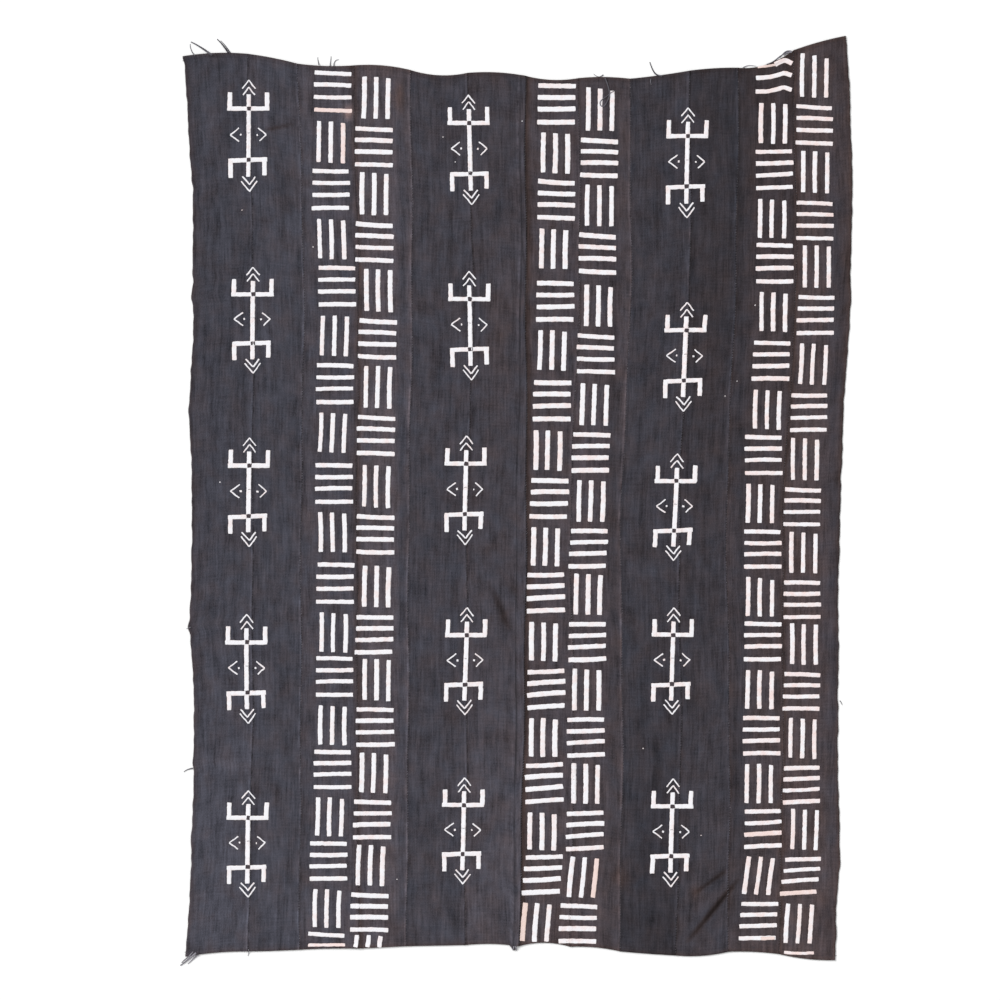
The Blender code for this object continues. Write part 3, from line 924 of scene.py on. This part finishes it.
# A column says whether its first block's bars lie across, how far down its marks may reach, how long its bars
# are that lie across, how wide all of them are, and how pink or ochre.
Column = namedtuple("Column", "across_first foot length width tint blocks")
COLUMNS = {
    "bars_a": Column(True, 947, 37.4, 4.5, 0.0, (
        Block(73.5, 110.5, 314.2, -1.2), Block(121.3, 162.6, 319.2), Block(171.1, 208.2, 312.1),
        Block(219.3, 259, 319.2, 0, 1.4), Block(268.3, 304.6, 318.4), Block(315.5, 355.5, 323.2, 0, -0.8),
        Block(365.8, 401.9, 316.4), Block(412.5, 452, 321.5, 0, -1.1), Block(465.5, 501.7, 314.9),
        Block(512.3, 552, 320.3, 0, 1.2), Block(564.9, 601.8, 316.8, 0, -0.8), Block(612.5, 652, 321.9),
        Block(658.7, 694.6, 315.8), Block(705.3, 744.5, 320.9), Block(752, 786.9, 313.8),
        Block(797, 836, 318.2, 0, -0.6), Block(843.6, 878.5, 309.5, 0.3), Block(889, 927.5, 315.5, 0, -0.2),
        Block(934.6, 970, 307.5, -1.2, 0, 1))),
    "bars_b": Column(False, 947, 38, 4.8, 0.05, (
        Block(76.9, 118.8, 364.6, 0, -0.3), Block(129.3, 164.9, 354.6, -1.2), Block(172.7, 215, 362.5),
        Block(224.9, 260.4, 355.6, -1.8), Block(269, 311.6, 366.4, 0, 0.7),
        Block(321.6, 356.8, 358.7, -1.5, -0.8), Block(365.8, 407.8, 366.4, 0, -0.5),
        Block(418, 453.5, 357, -1.5), Block(465.1, 507.2, 364.8, 0, -0.2), Block(517, 552, 356.3, -1),
        Block(565.5, 607.2, 365.2, 0, -0.3), Block(617.4, 652, 356.4, 0.5, -1.4), Block(658.8, 700.3, 365),
        Block(709.8, 744.4, 356), Block(752.7, 792.6, 362.2, 0, -0.6), Block(802.2, 837.3, 353.3),
        Block(844.6, 885.3, 359.4, 0, -1), Block(895.3, 929.8, 350.4, -0.8), Block(934.8, 976, 357, 0, -1))),
    "bars_c": Column(True, 944, 37.8, 5.1, 0.12, (
        Block(86, 122.2, 538, 0, -0.5), Block(132.9, 173, 543.7), Block(182.3, 217.9, 537.4, -1.6),
        Block(228.7, 268.5, 542), Block(283.6, 319.6, 536.3), Block(330, 370, 540.7, 0, -0.7),
        Block(382.8, 419.2, 533.7, 0, -1.3), Block(430, 470, 536.2, 0, -0.2),
        Block(480.7, 516.4, 530.9, 0, -1.5), Block(527, 566, 533.9, 0, -0.4),
        Block(574.8, 610.5, 526.8, 1.3), Block(622, 661, 531.8), Block(671.4, 706.6, 527.1, 2.6),
        Block(718, 756.4, 531.6), Block(765, 800.7, 525.2, 2.6), Block(812.3, 850, 530.2),
        Block(857, 892, 525.2, 1.7, -3.4), Block(902.8, 941.1, 525.6, 0, -2.8))),
    "bars_d": Column(False, 945, 37.7, 4.95, 0.15, (
        Block(87.2, 130.8, 588.5, -2.3), Block(141.1, 175.4, 580.5, -1), Block(185, 226, 587.7, 0, -0.1),
        Block(236, 271.8, 578.7, -1.8), Block(284.6, 326.4, 586.8, -1.4, -0.1),
        Block(336.6, 371.8, 576.8, -1.4), Block(383.6, 425.3, 583.1, 0, -0.9),
        Block(435, 470.5, 572.6, 0, -1.4), Block(480.1, 521.6, 579.5, 0, -0.6),
        Block(531.2, 566, 570.7, 0.6, -2.2), Block(573.8, 614.5, 576.7, 0, -0.4),
        Block(624.4, 659.2, 568.3, 1.2), Block(668.8, 710.2, 575), Block(719.8, 754.8, 567, 1.3),
        Block(763.2, 803.4, 573.9), Block(813.2, 848, 565.9, 2), Block(856.6, 897.3, 573.1, 0, -3.8),
        Block(906.3, 941.3, 560, -0.8, -1.5))),
    "bars_e": Column(False, 947, 37.2, 4.55, 0.3, (
        Block(103, 143.5, 761.4), Block(151.7, 187.7, 755.6, 1.2), Block(199, 238, 760.3),
        Block(245.5, 281.3, 756), Block(292.2, 331.4, 761.7), Block(343.1, 378.8, 753.4, 0, -2),
        Block(389.8, 429, 755.9, 0, -0.7), Block(437.3, 473.1, 744.6), Block(483.6, 522.7, 748.6, 0, -0.3),
        Block(532, 566.6, 744), Block(577, 616, 748.3, -1.4), Block(623.9, 659.2, 744.1),
        Block(669.7, 708.6, 748.1, 0, -0.3), Block(718.2, 753.4, 742.8, 0.4), Block(763.8, 802.8, 747.2),
        Block(811.3, 846.2, 744.3, 1.6), Block(856.8, 894.4, 749.1, 0, -4.5),
        Block(903.8, 938, 740.8, 0.8, -1.8))),
    "bars_f": Column(False, 955, 36.8, 4.4, 0.35, (
        Block(53.2, 97.2, 802.7, -3.8), Block(107.4, 143.2, 796, -1.4), Block(150.8, 192.8, 803.4),
        Block(203.5, 238.4, 796.4, -0.7), Block(245.4, 287.4, 804.8, 0, 0.3),
        Block(297.4, 333, 797.7, 0, -1.2), Block(343.4, 384.7, 802.1, 0, -1.6),
        Block(395.4, 430, 790.7, 0.5, -0.6), Block(438, 480, 793.2), Block(489.9, 524.3, 784.6, -0.5, -1.6),
        Block(532.2, 573, 791.7, 0, -0.2), Block(582.8, 617, 783.4), Block(623.6, 664.4, 792, 0, 0.2),
        Block(674.6, 708.6, 784, -0.2, -1.4), Block(718, 758, 790.9), Block(768, 801.7, 783.4, 1.3, -0.5),
        Block(809, 849.2, 793.1, 0, -0.8), Block(859.2, 892.6, 784.8, 2, -5),
        Block(903.3, 943.3, 788.2, 0, -2))),
}

# Bars that kept an ochre stain: the column, the block and the bar, each counted from nothing, and how strong
STAINED = {
    ("bars_a", 0, 3): 1.1, ("bars_c", 17, 0): 1.45, ("bars_d", 16, 2): 1.2, ("bars_e", 15, 2): 1.0,
    ("bars_f", 17, 3): 1.1, ("bars_a", 1, 2): 0.9,
}

# Bars drawn one by one: the ones that bend over the puckered seam at the head's torn corner, two that lie
# along the foot hem, and an ochre stain on another. The places are on the chart, and the width is in its
# squares.
LoneBar = namedtuple("LoneBar", "width tint dyed places")
LONE_LAYER = 8  # clear of the rolled hems
LONE_BARS = (
    LoneBar(2.4, 1.2, 0.0, ((757.5, 67.2), (768, 66.3), (778, 64.3))),
    LoneBar(5.0, 0.6, 0.0, ((775, 64.8), (780, 62.2), (785.5, 60.8), (792, 63.6))),
    LoneBar(4.6, 0.3, 0.0, ((756, 78), (768, 77.4), (778, 75.1), (784.5, 73.4), (791.5, 75.6))),
    LoneBar(4.5, 0.4, 0.0, ((755.5, 91.8), (768, 91.4), (778, 89.2), (784, 87.6), (791.5, 90))),
    LoneBar(3.2, 0.8, 0.0, ((308.3, 945), (326, 944.8), (345, 944.6))),
    LoneBar(3.2, 0.8, 0.0, ((784, 952.1), (792, 952.9), (802, 953.3), (813.8, 952.7))),
    LoneBar(3.4, 1.2, 0.0, ((761, 938.6), (768, 938.3), (774.5, 938))),
)


def mark_profile():
    """The cross-section of a mark, one unit wide and flat. Its points say which of them stand proud."""
    outline = (
        (-0.5, -1), (-0.465, 0.75), (-0.3, 1), (-0.1, 1), (0.1, 1), (0.3, 1), (0.465, 0.75), (0.5, -1))
    count = len(outline)
    sides = [(i, (i + 1) % count) for i in range(count)]
    mesh = bpy.data.meshes.new("mark_profile")
    mesh.from_pydata([(across, 0, 0) for across, _ in outline], sides, [])
    note(mesh, "proud", [rise for _, rise in outline])
    return new_object("mark_profile", mesh)


def mark_tree():
    """Marks drawn along guide lines, with uneven sides, and laid over the cloth and its seams."""
    tree, given = new_tree("drawn_marks", {
        "Cloth": "Collection", "Profile": "Object", "Step": "Float", "Waver": "Float", "Waver Size": "Float",
        "Proud": "Float", "End": "Float", "Finish": "Material"})
    line = node(tree, "GeometryNodeMeshToCurve", {0: given["Guides"]})
    line = node(tree, "GeometryNodeSetCurveNormal", {"Curve": line.outputs[0]}, mode="Z_UP")
    line = node(tree, "GeometryNodeResampleCurve", {"Curve": line.outputs[0], "Length": given["Step"]},
                mode="LENGTH")
    along = node(tree, "GeometryNodeSplineParameter").outputs["Length"]
    whole = node(tree, "GeometryNodeSplineLength").outputs[0]
    from_end = maths(tree, "MINIMUM", along, maths(tree, "SUBTRACT", whole, along))
    taper = ramp(tree, from_end, 0.0, given["End"], 0.9, 1.0)
    width = maths(tree, "MULTIPLY", carried(tree, "width"), taper)
    shape = node(tree, "GeometryNodeObjectInfo", {"Object": given["Profile"]})
    shape = node(tree, "GeometryNodeMeshToCurve", {0: shape.outputs["Geometry"]})
    mark = node(tree, "GeometryNodeCurveToMesh", {
        "Curve": line.outputs[0], "Profile Curve": shape.outputs[0], "Scale": width,
        "Fill Caps": True})
    fine = maths(tree, "DIVIDE", 1.0, given["Waver Size"])
    noise = node(tree, "ShaderNodeTexNoise", {"Scale": fine, "Detail": 2.0, "Roughness": 0.6})
    swing = vectors(tree, "SUBTRACT", noise.outputs["Color"], (0.5, 0.5, 0.5))
    mark = node(tree, "GeometryNodeSetPosition", {
        "Geometry": mark.outputs[0], "Offset": scaled(tree, swing, given["Waver"])})
    above = maths(tree, "MULTIPLY_ADD", carried(tree, "proud"), given["Proud"], carried(tree, "layer"))
    laid = drop_on_cloth(tree, mark.outputs[0], given["Cloth"], above, to_edge=True)
    finish = node(tree, "GeometryNodeSetMaterial", {"Geometry": laid, "Material": given["Finish"]})
    node(tree, "NodeGroupOutput", {0: finish.outputs[0]})
    return tree


# Bare cotton where the dye has been taken out. It is clean and pale along the middle of a mark, pinkish or
# ochre where the dye held on, and browner right at its edges.
MARK_PINK = "#EFDAD7"
MARK_EDGE = "#A98A78"
MARK_DYED = "#473F43"
MARK_OCHRE = "#E6CDBD"


def bare_cotton():
    material, tree, shader = new_material("bleached_bare_cotton")
    place_at = node(tree, "ShaderNodeTexCoord").outputs["Object"]
    tint = noted(tree, "tint")
    cloudy = stretched_noise(tree, place_at, 13 * MM, 13 * MM)
    slub = stretched_noise(tree, place_at, SLUB, SLUB * 1.7, 1.0)
    clean = mixed(tree, add_share(tree, tint, cloudy, 2.2), MARK_PALE, MARK_PINK)
    ochre = ramp(tree, add_share(tree, tint, cloudy, 1.0), 1.0, 2.0, 0.0, 1.0)
    clean = mixed(tree, ochre, clean, MARK_OCHRE)
    edge = ramp(tree, add_share(tree, noted(tree, "proud"), slub, 0.35), 0.60, 0.80, 1.0, 0.0)
    edged = mixed(tree, edge, clean, MARK_EDGE)
    flecks = ramp(tree, slub, 0.26, 0.18, 0.0, 0.55)
    colour = mixed(tree, maths(tree, "MAXIMUM", flecks, noted(tree, "dyed")), edged, MARK_DYED)
    height = add_share(tree, weave_height(tree, place_at, THREAD_PITCH), slub, 0.8)
    dress(tree, shader, colour, height, 0.6, RELIEF, {"Roughness": 0.95, "Specular IOR Level": 0.1})
    return material


Mark = namedtuple("Mark", "line width tint dyed layer", defaults=(0.2, 0.0, 0))


def hand_line(draw, start, end, bow=0.5):
    """The line of one mark between two places on the chart, bent a little as a hand draws it."""
    start = Vector(start)
    end = Vector(end)
    bend = (end - start).orthogonal().normalized() * draw.uniform(-bow, bow)
    shares = [step / 6 for step in range(7)]
    return [on_chart(*(start.lerp(end, share) + bend * math.sin(math.pi * share))) for share in shares]


def smooth_line(places):
    """A soft curve through places on the chart."""
    shares = np.linspace(0, 1, 4 * len(places))
    rights, downs = (smooth_run(values, shares) for values in zip(*places))
    return [on_chart(right, down) for right, down in zip(rights, downs)]


def block_marks(draw, block, across, column):
    """The bars of one block."""
    marks = []
    if across:
        for bar in FOUR_BARS[:block.bars]:
            down = block.top + (block.bottom - block.top) * bar.down
            left = block.left + block.lean * bar.down + 0.7 * bar.shorter + draw.uniform(-0.4, 0.4)
            right = left + column.length - bar.shorter + draw.uniform(-0.5, 0.5)
            climb = block.rise + bar.climb + draw.uniform(-0.3, 0.3)
            width = column.width * draw.uniform(0.93, 1.07)
            line = hand_line(draw, (left, down + climb / 2), (right, down - climb / 2))
            marks.append(Mark(line, width, column.tint + draw.uniform(-0.2, 0.25)))
        return marks
    for number, bar in enumerate(THREE_BARS):
        head = (block.left + bar.right,
                block.top + bar.head - block.rise * number / 2 + draw.uniform(-0.4, 0.4))
        foot = min(block.bottom + bar.foot + draw.uniform(-0.4, 0.4), column.foot)
        feet = (head[0] + block.lean + BAR_LEAN + draw.uniform(-0.3, 0.3), foot)
        width = 1.02 * column.width * draw.uniform(0.93, 1.06)
        marks.append(Mark(hand_line(draw, head, feet), width, column.tint + draw.uniform(-0.2, 0.25)))
    return marks


def marks_object(name, marks, tree, finish, profile):
    """Marks as one piece, from their guide lines."""
    guide = guide_object(
        name, [mark.line for mark in marks], width=[mark.width * SQUARE for mark in marks],
        tint=[mark.tint for mark in marks], dyed=[mark.dyed for mark in marks],
        layer=[mark.layer * LAYER for mark in marks])
    piece = grow(guide, tree, {
        "Cloth": cloth_parts, "Profile": profile, "Step": MARK_STEP, "Waver": MARK_WAVER,
        "Waver Size": MARK_WAVER_SIZE, "Proud": MARK_PROUD, "End": MARK_END, "Finish": finish})
    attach(piece, "root")
    return piece


profile = mark_profile()
marks_drawn = mark_tree()
bare = bare_cotton()
draw = random.Random(MARK_SEED)
mark_pieces = []
for name, column in COLUMNS.items():
    marks = []
    for number, block in enumerate(column.blocks):
        across = column.across_first == (number % 2 == 0)
        for bar, mark in enumerate(block_marks(draw, block, across, column)):
            marks.append(mark._replace(tint=STAINED.get((name, number, bar), mark.tint)))
    mark_pieces.append(marks_object(name, marks, marks_drawn, bare, profile))
lone_bars = [
    Mark(smooth_line(bar.places), bar.width, bar.tint, bar.dyed, LONE_LAYER) for bar in LONE_BARS]
mark_pieces.append(marks_object("lone_bars", lone_bars, marks_drawn, bare, profile))

# The figures
# Five stand down each of three wide panels, over a seam. A long bar ends in two open hands, with arrowheads
# beyond them and a small eye at each side, all drawn with the same stick and a finer one.
# One row for each stroke: from and to, right and down of the figure's middle, and its width and layer
Stroke = namedtuple("Stroke", "right down to_right to_down width layer dyed", defaults=(0, 0.0))
THICK = 4.7
FINE = 1.4
DOT = 2.2
FIGURE = (
    Stroke(0, -40, 0, 42, THICK, 0),
    Stroke(-21.5, -26, 20.5, -26, THICK, 1),
    Stroke(-18.9, -25, -18.7, -42, THICK, 2),
    Stroke(18.3, -25, 18.6, -42, THICK, 2),
    Stroke(-20.5, 26.2, 18.5, 24.8, THICK, 1),
    Stroke(-18.2, 25, -18, 43, THICK, 2),
    Stroke(16, 24, 16.1, 40.5, THICK, 2),
    Stroke(0, -54.3, -6.6, -46, FINE, 0),
    Stroke(0, -54.3, 6.6, -46, FINE, 1),
    Stroke(0, -47.3, -6, -39.3, FINE, 0),
    Stroke(0, -47.3, 6.2, -39.3, FINE, 1),
    Stroke(0.8, 49.8, -6.6, 41.5, FINE * 1.1, 0),
    Stroke(0.8, 49.8, 6.8, 41.5, FINE * 1.2, 1),
    Stroke(1, 56.4, -7.6, 46, FINE, 0),
    Stroke(1, 56.4, 8.2, 46, FINE, 1),
    Stroke(-18.6, 0, -9.6, -6.8, FINE, 0),
    Stroke(-18.6, 0, -9.6, 6.6, FINE, 1),
    Stroke(17.4, 0, 9.4, -6.8, FINE, 0),
    Stroke(17.4, 0, 10.8, 6.6, FINE, 1),
    Stroke(-9.2, 0, -7.6, 0, DOT, 0),
    Stroke(7.6, 0.2, 9.2, 0.2, DOT, 0),
    Stroke(-1.8, -26, 2.2, -26, 4.2, 8, 1.0),
    Stroke(-1.8, 25.2, 2.2, 25.2, 4.2, 8, 1.0),
    Stroke(-1.2, -1.8, 1.4, -1.8, 0.8, 4, 0.6),
)
# Each figure's middle on the chart, how far its foot leans to the right, and how tall it is beside the first
Figure = namedtuple("Figure", "right down lean tall")
FIGURE_COLUMNS = {
    "figures_left": (0.0, (
        Figure(248.8, 134.8, -0.1, 1.005), Figure(252.8, 319.2, -0.8, 0.957), Figure(249.1, 491.2, -1, 0.985),
        Figure(247.1, 667.9, 0.5, 0.988), Figure(247.9, 842.7, -1, 0.963))),
    "figures_middle": (0.08, (
        Figure(469.7, 148.8, 2, 0.99), Figure(469.9, 324.7, 1, 0.98), Figure(465.4, 489.3, -1.7, 0.985),
        Figure(465.6, 660.2, -2.5, 0.967), Figure(463.2, 829.8, -2, 0.957))),
    "figures_right": (0.16, (
        Figure(687.1, 161.8, -1.6, 0.99), Figure(685, 355.9, -3.6, 0.982), Figure(675, 506.1, -3.9, 0.962),
        Figure(672.5, 660, -2, 0.965), Figure(671.6, 831.6, -2.7, 0.973))),
}
FIGURE_HALF = 42


def figure_marks(draw, figure, tint):
    """The strokes of one figure. It leans evenly from its head to its foot."""
    marks = []
    for stroke in FIGURE:
        ends = []
        for right, down in ((stroke.right, stroke.down), (stroke.to_right, stroke.to_down)):
            lean = figure.lean * down / (2 * FIGURE_HALF)
            loose = 0.35 if stroke.width > FINE else 0.2
            ends.append((figure.right + right + lean + draw.uniform(-loose, loose),
                         figure.down + down * figure.tall + draw.uniform(-loose, loose)))
        width = stroke.width * draw.uniform(0.95, 1.05)
        line = hand_line(draw, *ends, bow=0.25)
        marks.append(Mark(line, width, tint + draw.uniform(-0.15, 0.15), stroke.dyed, stroke.layer))
    return marks


for name, (tint, figures) in FIGURE_COLUMNS.items():
    marks = []
    for figure in figures:
        marks += figure_marks(draw, figure, tint)
    mark_pieces.append(marks_object(name, marks, marks_drawn, bare, profile))

# Small splashes, where a drop of the bleach fell beside the marks: places on the chart
SPLASH = 1.3
SPLASHES = (
    (242, 210), (443, 137), (455, 162), (313, 247), (220, 482), (522, 121), (643, 748), (701, 835),
    (755, 305), (737, 381), (725, 396), (397, 879), (330, 865), (231, 871),
)
splashes = [
    Mark(hand_line(draw, (right - 0.4, down), (right + 0.4, down + 0.3)),
         SPLASH * draw.uniform(0.7, 1.2), 0.4)
    for right, down in SPLASHES]
mark_pieces.append(marks_object("splashes", splashes, marks_drawn, bare, profile))
bpy.data.objects.remove(profile)


def bleach(sewing, pieces):
    """Says which points of the sewing lie in a mark, where the dye has gone from the thread as well."""
    faces = bmesh.new()
    for piece in pieces:
        faces.from_mesh(piece.data)
    tree = BVHTree.FromBMesh(faces)
    faces.free()
    up = Vector((0, 0, 1))
    found = [
        float(tree.ray_cast(vertex.co - up * RAY_FROM, up)[0] is not None) for vertex in sewing.data.vertices]
    note(sewing.data, "bleached", found)


for sewing in (seam_sewing, hem_sewing):
    bleach(sewing, mark_pieces)

# The loose threads
# Cut ends of warp and sewing thread, left long at the corners and along the hems. They are soft and curl
# where they lie, partly on the cloth and partly on the surface beside it.
LooseThread = namedtuple("LooseThread", "pale thick places")
LOOSE_THREADS = (
    LooseThread(0.1, 1.5, ((213, 56), (204, 49.5), (196, 44.5), (190, 41.5))),
    LooseThread(0.1, 0.7, ((196, 57), (192, 52), (190, 46), (190.5, 43))),
    LooseThread(0.1, 1.3, ((229, 54), (225, 48), (220.5, 42.5), (216.5, 38.5))),
    LooseThread(0.2, 0.7, ((231, 54), (227, 48), (223, 43), (220, 40))),
    LooseThread(0.1, 0.6, ((319, 66), (318.5, 62), (317.5, 59), (318, 56))),
    LooseThread(0.1, 0.6, ((330, 67), (330.5, 62), (331, 58), (331, 55))),
    LooseThread(0.1, 0.6, ((334, 68), (334, 63), (336, 60), (340, 59.5))),
    LooseThread(0.4, 0.9, (
        (604.5, 77), (608, 86), (609.5, 95), (607, 102), (603.5, 107), (600, 105), (600.5, 101),
        (606, 97), (612, 92), (616, 91))),
    LooseThread(0.5, 0.6, ((604, 74), (600, 77), (596, 76), (593, 73))),
    LooseThread(0.1, 1.1, ((663, 76.5), (657, 75.2), (653.5, 71.5), (651, 66), (649.5, 61))),
    LooseThread(0.7, 0.6, ((651, 78), (650.5, 82), (651.5, 86))),
    LooseThread(0.8, 1.4, ((197, 952), (191, 957), (185, 962), (179.5, 966))),
    LooseThread(0.9, 1.0, ((199, 954), (194, 958), (190, 962), (187, 964.5))),
    LooseThread(0.6, 0.9, ((194, 951), (188, 957), (183, 961), (181, 963.5))),
    LooseThread(0.3, 0.8, ((192, 627), (188, 628), (185.5, 629))),
    LooseThread(0.2, 0.8, ((194, 768), (189, 769), (184.6, 771), (183.5, 773))),
    LooseThread(0.8, 0.6, ((248.5, 948), (249, 952), (247.6, 957))),
    LooseThread(0.9, 1.1, ((515.5, 945), (516, 949), (517, 951.5))),
    LooseThread(0.9, 1.0, ((514, 945), (513.5, 948.5), (512, 951))),
    LooseThread(0.9, 0.6, ((742, 68.4), (746, 66), (751, 65.4), (757, 66.4))),
    LooseThread(0.2, 0.8, ((766, 65), (773, 61.8), (779, 57), (785, 53), (790, 51.4))),
    LooseThread(0.9, 1.3, ((792.5, 52.4), (789, 52.2), (785.5, 53.8), (783, 56))),
    LooseThread(0.5, 0.9, ((792, 51.6), (788, 50.8), (784, 52.8), (779, 58.4))),
    LooseThread(0.3, 0.6, ((839, 700), (841, 702), (842.5, 706))),
)
LOOSE_THREAD = THREAD * 1.2
LOOSE_THREAD_STEP = 1.5 * MM
LOOSE_THREAD_DRAPE = 4  # how far, in steps, the cloth's edge is bridged on each side


def thread_tree():
    """Thread lying along guide lines, on the cloth or on the surface beside it."""
    tree, given = new_tree("loose_thread", {
        "Cloth": "Collection", "Step": "Float", "Thread": "Float", "Drape": "Int", "Finish": "Material"})
    line = node(tree, "GeometryNodeMeshToCurve", {0: given["Guides"]})
    line = node(tree, "GeometryNodeCurveSplineType", {"Curve": line.outputs[0]}, spline_type="CATMULL_ROM")
    line = node(tree, "GeometryNodeResampleCurve", {"Curve": line.outputs[0], "Length": given["Step"]},
                mode="LENGTH")
    half = maths(tree, "MULTIPLY", given["Thread"], 0.5)
    along = node(tree, "GeometryNodeSplineParameter").outputs["Factor"]
    thick = maths(tree, "MULTIPLY", carried(tree, "thick"), ramp(tree, along, 0.0, 1.0, 3.2, 1.4))
    radius = maths(tree, "MULTIPLY", half, thick)
    laid = drop_on_cloth(tree, line.outputs[0], given["Cloth"], maths(tree, "ADD", radius, MARK_PROUD))
    position = node(tree, "GeometryNodeInputPosition").outputs[0]
    least = node(tree, "ShaderNodeCombineXYZ", {0: -10.0, 1: -10.0, 2: radius})
    eased = node(tree, "GeometryNodeBlurAttribute", {
        "Value": vectors(tree, "MAXIMUM", position, least.outputs[0]), "Iterations": given["Drape"],
        "Weight": 1.0}, data_type="FLOAT_VECTOR")
    soft = node(tree, "GeometryNodeSetPosition", {"Geometry": laid, "Position": eased.outputs[0]})
    ring = node(tree, "GeometryNodeCurvePrimitiveCircle", {"Resolution": 6, "Radius": half})
    tube = node(tree, "GeometryNodeCurveToMesh", {
        "Curve": soft.outputs[0], "Profile Curve": ring.outputs[0], "Scale": thick,
        "Fill Caps": True})
    smooth = node(tree, "GeometryNodeSetShadeSmooth", {0: tube.outputs[0]})
    finish = node(tree, "GeometryNodeSetMaterial", {
        "Geometry": smooth.outputs[0], "Material": given["Finish"]})
    node(tree, "NodeGroupOutput", {0: finish.outputs[0]})
    return tree


loose_threads = grow(
    guide_object("loose_threads", [[on_chart(*at) for at in thread.places] for thread in LOOSE_THREADS],
                 pale=[thread.pale for thread in LOOSE_THREADS],
                 thick=[thread.thick for thread in LOOSE_THREADS]),
    thread_tree(), {
        "Cloth": cloth_parts, "Step": LOOSE_THREAD_STEP, "Thread": LOOSE_THREAD, "Drape": LOOSE_THREAD_DRAPE,
        "Finish": thread_cotton})
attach(loose_threads, "root")

# The plain pale floor, soft studio light and the camera straight above the middle of the photograph
FLOOR_SIDE = 14
FLOOR_DROP = 0.4 * MM
FLOOR_PALE = "#FFFFFF"
DAYLIGHT = 2.25
DAYLIGHT_SPREAD = 30
DAYLIGHT_FROM = (-0.85, 0.6, 0.94)
ROOM_LIGHT = 0.6
CAMERA_HEIGHT = 7.0
VIEW_WIDTH = 1000 * SQUARE
SENSOR_MM = 36


def pale_floor():
    bm = bmesh.new()
    bmesh.ops.create_grid(bm, x_segments=1, y_segments=1, size=FLOOR_SIDE / 2)
    mesh = bpy.data.meshes.new("studio_floor")
    bm.to_mesh(mesh)
    bm.free()
    floor = new_object("studio_floor", mesh)
    floor.location = (0, 0, -FLOOR_DROP)
    material, _, shader = new_material("matt_white_board")
    shader.inputs["Base Color"].default_value = linear(FLOOR_PALE)
    shader.inputs["Roughness"].default_value = 0.9
    shader.inputs["Specular IOR Level"].default_value = 0.0
    mesh.materials.append(material)


def soft_daylight():
    """Even light from a large window, up and to the left of the cloth."""
    lamp = bpy.data.lights.new("soft_daylight", "SUN")
    lamp.energy = DAYLIGHT
    lamp.angle = math.radians(DAYLIGHT_SPREAD)
    light = new_object("soft_daylight", lamp)
    light.rotation_euler = Vector(DAYLIGHT_FROM).to_track_quat("Z", "Y").to_euler()


pale_floor()
soft_daylight()
world = bpy.data.worlds.new("studio")
world.use_nodes = True
world.node_tree.nodes["Background"].inputs["Color"].default_value = (1, 1, 1, 1)
world.node_tree.nodes["Background"].inputs["Strength"].default_value = ROOM_LIGHT
bpy.context.scene.world = world

camera_data = bpy.data.cameras.new("camera")
camera_data.sensor_width = SENSOR_MM
camera_data.lens = SENSOR_MM * CAMERA_HEIGHT / VIEW_WIDTH
camera = new_object("camera", camera_data)
camera.location = (*on_chart(500, 500), CAMERA_HEIGHT)
bpy.context.scene.camera = camera
bpy.context.scene.view_settings.view_transform = "Standard"
